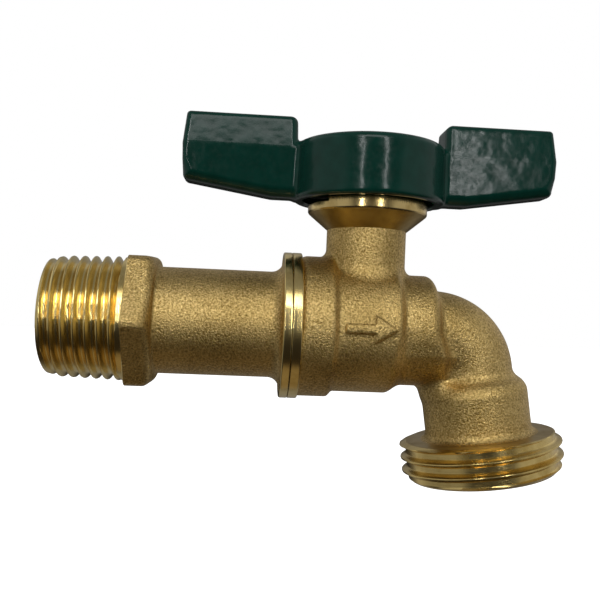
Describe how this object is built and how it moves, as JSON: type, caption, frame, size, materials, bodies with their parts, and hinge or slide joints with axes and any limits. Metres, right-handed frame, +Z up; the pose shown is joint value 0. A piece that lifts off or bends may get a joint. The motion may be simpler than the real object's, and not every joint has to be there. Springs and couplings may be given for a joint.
{
  "type": "hose bib",
  "caption": "Quarter-turn brass hose bib with a male pipe tailpiece, a ball valve body bent down to a male hose thread, and a two-winged lever handle.",
  "frame": {"origin": "middle of the inlet end face, on the pipe axis", "axes": "+X along the pipe from inlet to outlet, +Z up along the stem, +Y to the left of the water's way"},
  "size_m": [0.0861, 0.027, 0.0599],
  "materials": {
    "cast_brass": "sand-textured forged brass, threads and rims machined bright",
    "turned_brass": "machined brass with fine turning marks",
    "handle_paint": "dark green powder coat with a slight orange peel",
    "seat_plastic": "white fluoropolymer, waxy",
    "seal_rubber": "black nitrile rubber",
    "ball_chrome": "polished chrome plate",
    "zinc_steel": "zinc-plated steel"
  },
  "bodies": {
    "valve_body": {"outlet_body": "cast_brass", "inlet_tailpiece": "cast_brass", "body_seal_ring": "seal_rubber", "seat_cushion_ring": "seal_rubber", "inlet_seat": "seat_plastic", "outlet_seat": "seat_plastic", "packing_ring_lower": "seat_plastic", "packing_ring_middle": "seat_plastic", "packing_ring_upper": "seat_plastic", "gland_follower": "turned_brass", "gland_nut": "turned_brass"},
    "handle_and_stem": {"handle": "handle_paint", "handle_washer": "zinc_steel", "lock_washer": "zinc_steel", "handle_screw": "zinc_steel", "stem": "turned_brass", "stem_thrust_washer": "seat_plastic", "stem_oring_lower": "seal_rubber", "stem_oring_upper": "seal_rubber"},
    "ball": {"ball": "ball_chrome"}
  },
  "joints": [
    {"name": "handle_turn", "type": "hinge", "parent": "valve_body", "child": "handle_and_stem", "pos_m": [0.0515, 0, 0.0256], "axis": [0, 0, 1], "range_deg": [-90, 0]},
    {"name": "ball_turn", "type": "hinge", "parent": "valve_body", "child": "ball", "pos_m": [0.0515, 0, 0], "axis": [0, 0, 1], "range_deg": [-90, 0]}
  ],
  "couplings": [
    {"joint": "ball_turn", "follows": "handle_turn", "ratio": 1}
  ]
}
